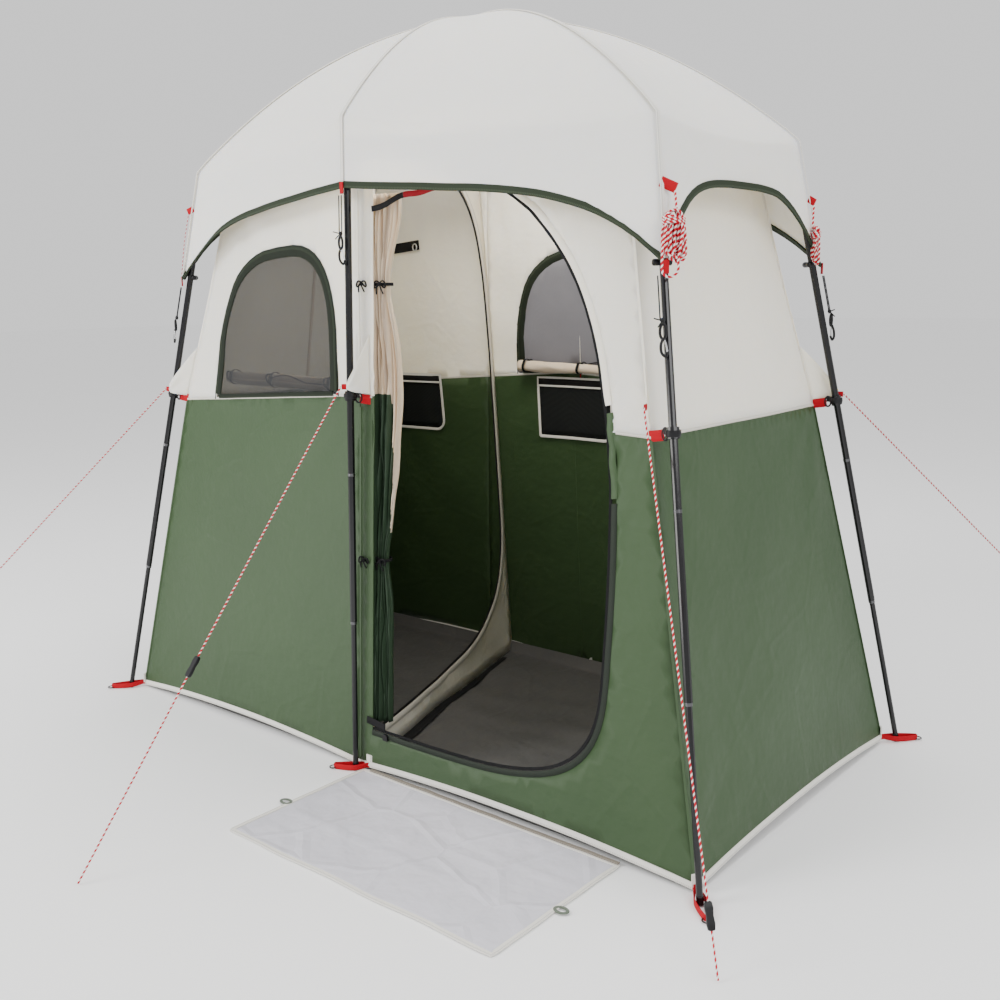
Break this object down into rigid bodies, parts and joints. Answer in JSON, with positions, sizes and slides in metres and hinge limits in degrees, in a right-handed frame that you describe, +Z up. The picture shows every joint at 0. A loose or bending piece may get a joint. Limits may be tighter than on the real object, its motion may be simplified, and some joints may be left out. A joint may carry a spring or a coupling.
{
  "type": "privacy shower tent",
  "caption": "Freestanding shower tent with an outer steel frame, arched canopy, divided interior, zipped doorway, netted windows, rolled flaps, door mat and guy lines.",
  "frame": {"origin": "on the ground at the middle of the floor's underside", "axes": "+X to the right along the front, +Y to the back, +Z up; the front faces -Y"},
  "size_m": [2.6826, 2.2671, 1.9658],
  "materials": {
    "steel": "gloss black coated steel tube",
    "plastic": "moulded black plastic",
    "cream": "off-white coated polyester",
    "green": "green coated polyester below, off-white above",
    "net": "fine dark grey netting",
    "tan": "unlined tan polyester",
    "groundsheet": "dark grey woven groundsheet",
    "mat": "pale grey woven sheet with bound edges",
    "cord": "red and white braided cord"
  },
  "bodies": {
    "root": {"hub": "plastic", "rafter_front_left": "steel", "elbow_front_left": "plastic", "leg_upper_front_left": "steel", "rafter_front_middle": "steel", "elbow_front_middle": "plastic", "leg_upper_front_middle": "steel", "rafter_front_right": "steel", "elbow_front_right": "plastic", "leg_upper_front_right": "steel", "rafter_back_right": "steel", "elbow_back_right": "plastic", "leg_upper_back_right": "steel", "rafter_back_middle": "steel", "elbow_back_middle": "plastic", "leg_upper_back_middle": "steel", "rafter_back_left": "steel", "elbow_back_left": "plastic", "leg_upper_back_left": "steel", "canopy": "cream", "wall_front_left": "green", "wall_front_right": "green", "wall_back_left": "green", "wall_back_right": "green", "wall_end_left": "green", "wall_end_right": "green", "divider": "cream", "floor": "groundsheet", "window_net_front": "net", "window_net_back": "net", "pocket_left": "net", "pocket_right": "net", "guy_line_front_left": "cord", "guy_line_front_middle": "cord", "guy_line_front_right": "cord", "guy_line_back_right": "cord", "hank_front_right": "cord", "hank_back_right": "cord"},
    "leg_foot_front_left": {"leg_lower_front_left": "steel"},
    "leg_foot_front_middle": {"leg_lower_front_middle": "steel"},
    "leg_foot_front_right": {"leg_lower_front_right": "steel"},
    "leg_foot_back_right": {"leg_lower_back_right": "steel"},
    "leg_foot_back_middle": {"leg_lower_back_middle": "steel"},
    "leg_foot_back_left": {"leg_lower_back_left": "steel"},
    "canopy_hook_front_left": {"hook_front_left": "plastic"},
    "canopy_hook_front_middle": {"hook_front_middle": "plastic"},
    "canopy_hook_front_right": {"hook_front_right": "plastic"},
    "canopy_hook_back_right": {"hook_back_right": "plastic"},
    "canopy_hook_back_middle": {"hook_back_middle": "plastic"},
    "canopy_hook_back_left": {"hook_back_left": "plastic"},
    "door_curtain": {"door_panel": "tan"},
    "zip_slider": {"door_zip_slider": "plastic"},
    "flap_front": {"window_flap_front": "tan"},
    "flap_back": {"window_flap_back": "tan"},
    "door_mat": {"mat": "mat"},
    "runner_front_left": {"guy_runner_front_left": "plastic"},
    "runner_front_middle": {"guy_runner_front_middle": "plastic"},
    "runner_front_right": {"guy_runner_front_right": "plastic"}
  },
  "joints": [
    {"name": "leg_plug_front_left", "type": "slide", "parent": "root", "child": "leg_foot_front_left", "axis": [-0.1627, -0.1349, -0.9774], "range_m": [0, 0.055]},
    {"name": "leg_plug_front_middle", "type": "slide", "parent": "root", "child": "leg_foot_front_middle", "axis": [0, -0.0345, -0.9994], "range_m": [0, 0.055]},
    {"name": "leg_plug_front_right", "type": "slide", "parent": "root", "child": "leg_foot_front_right", "axis": [0.1627, -0.1349, -0.9774], "range_m": [0, 0.055]},
    {"name": "leg_plug_back_right", "type": "slide", "parent": "root", "child": "leg_foot_back_right", "axis": [0.1627, 0.1349, -0.9774], "range_m": [0, 0.055]},
    {"name": "leg_plug_back_middle", "type": "slide", "parent": "root", "child": "leg_foot_back_middle", "axis": [0, 0.0345, -0.9994], "range_m": [0, 0.055]},
    {"name": "leg_plug_back_left", "type": "slide", "parent": "root", "child": "leg_foot_back_left", "axis": [-0.1627, 0.1349, -0.9774], "range_m": [0, 0.055]},
    {"name": "hook_swing_front_left", "type": "hinge", "parent": "root", "child": "canopy_hook_front_left", "pos_m": [-0.85637, -0.38048, 1.267], "axis": [-0.7071, 0.7071, 0], "range_deg": [0, 70]},
    {"name": "hook_swing_front_middle", "type": "hinge", "parent": "root", "child": "canopy_hook_front_middle", "pos_m": [0, -0.49558, 1.476], "axis": [-1, 0, 0], "range_deg": [0, 70]},
    {"name": "hook_swing_front_right", "type": "hinge", "parent": "root", "child": "canopy_hook_front_right", "pos_m": [0.85637, -0.38048, 1.267], "axis": [-0.7071, -0.7071, 0], "range_deg": [0, 70]},
    {"name": "hook_swing_back_right", "type": "hinge", "parent": "root", "child": "canopy_hook_back_right", "pos_m": [0.85637, 0.38048, 1.267], "axis": [0.7071, -0.7071, 0], "range_deg": [0, 70]},
    {"name": "hook_swing_back_middle", "type": "hinge", "parent": "root", "child": "canopy_hook_back_middle", "pos_m": [0, 0.49558, 1.476], "axis": [1, 0, 0], "range_deg": [0, 70]},
    {"name": "hook_swing_back_left", "type": "hinge", "parent": "root", "child": "canopy_hook_back_left", "pos_m": [-0.85637, 0.38048, 1.267], "axis": [0.7071, 0.7071, 0], "range_deg": [0, 70]},
    {"name": "door_panel_swing", "type": "hinge", "parent": "root", "child": "door_curtain", "pos_m": [0.045, -0.503, 0.02], "axis": [0, 0.043, 0.9991], "range_deg": [-80, 0]},
    {"name": "door_zip_travel", "type": "slide", "parent": "root", "child": "zip_slider", "axis": [1, 0, 0], "range_m": [0, 0.38]},
    {"name": "window_flap_front_drop", "type": "hinge", "parent": "root", "child": "flap_front", "pos_m": [-0.384, -0.416, 0.985], "axis": [1, 0, 0], "range_deg": [-60, 0]},
    {"name": "window_flap_back_drop", "type": "hinge", "parent": "root", "child": "flap_back", "pos_m": [0.085, 0.446, 0.985], "axis": [1, 0, 0], "range_deg": [0, 60]},
    {"name": "mat_fold", "type": "hinge", "parent": "root", "child": "door_mat", "pos_m": [0.4255, -0.51, 0.002], "axis": [-1, 0, 0], "range_deg": [0, 80]},
    {"name": "guy_runner_slide_front_left", "type": "slide", "parent": "root", "child": "runner_front_left", "axis": [0.4208, 0.5628, 0.7115], "range_m": [-0.04, 0.35]},
    {"name": "guy_runner_slide_front_middle", "type": "slide", "parent": "root", "child": "runner_front_middle", "axis": [0.0195, 0.6152, 0.7881], "range_m": [-0.04, 0.35]},
    {"name": "guy_runner_slide_front_right", "type": "slide", "parent": "root", "child": "runner_front_right", "axis": [-0.3385, 0.29, 0.8952], "range_m": [-0.04, 0.35]}
  ]
}
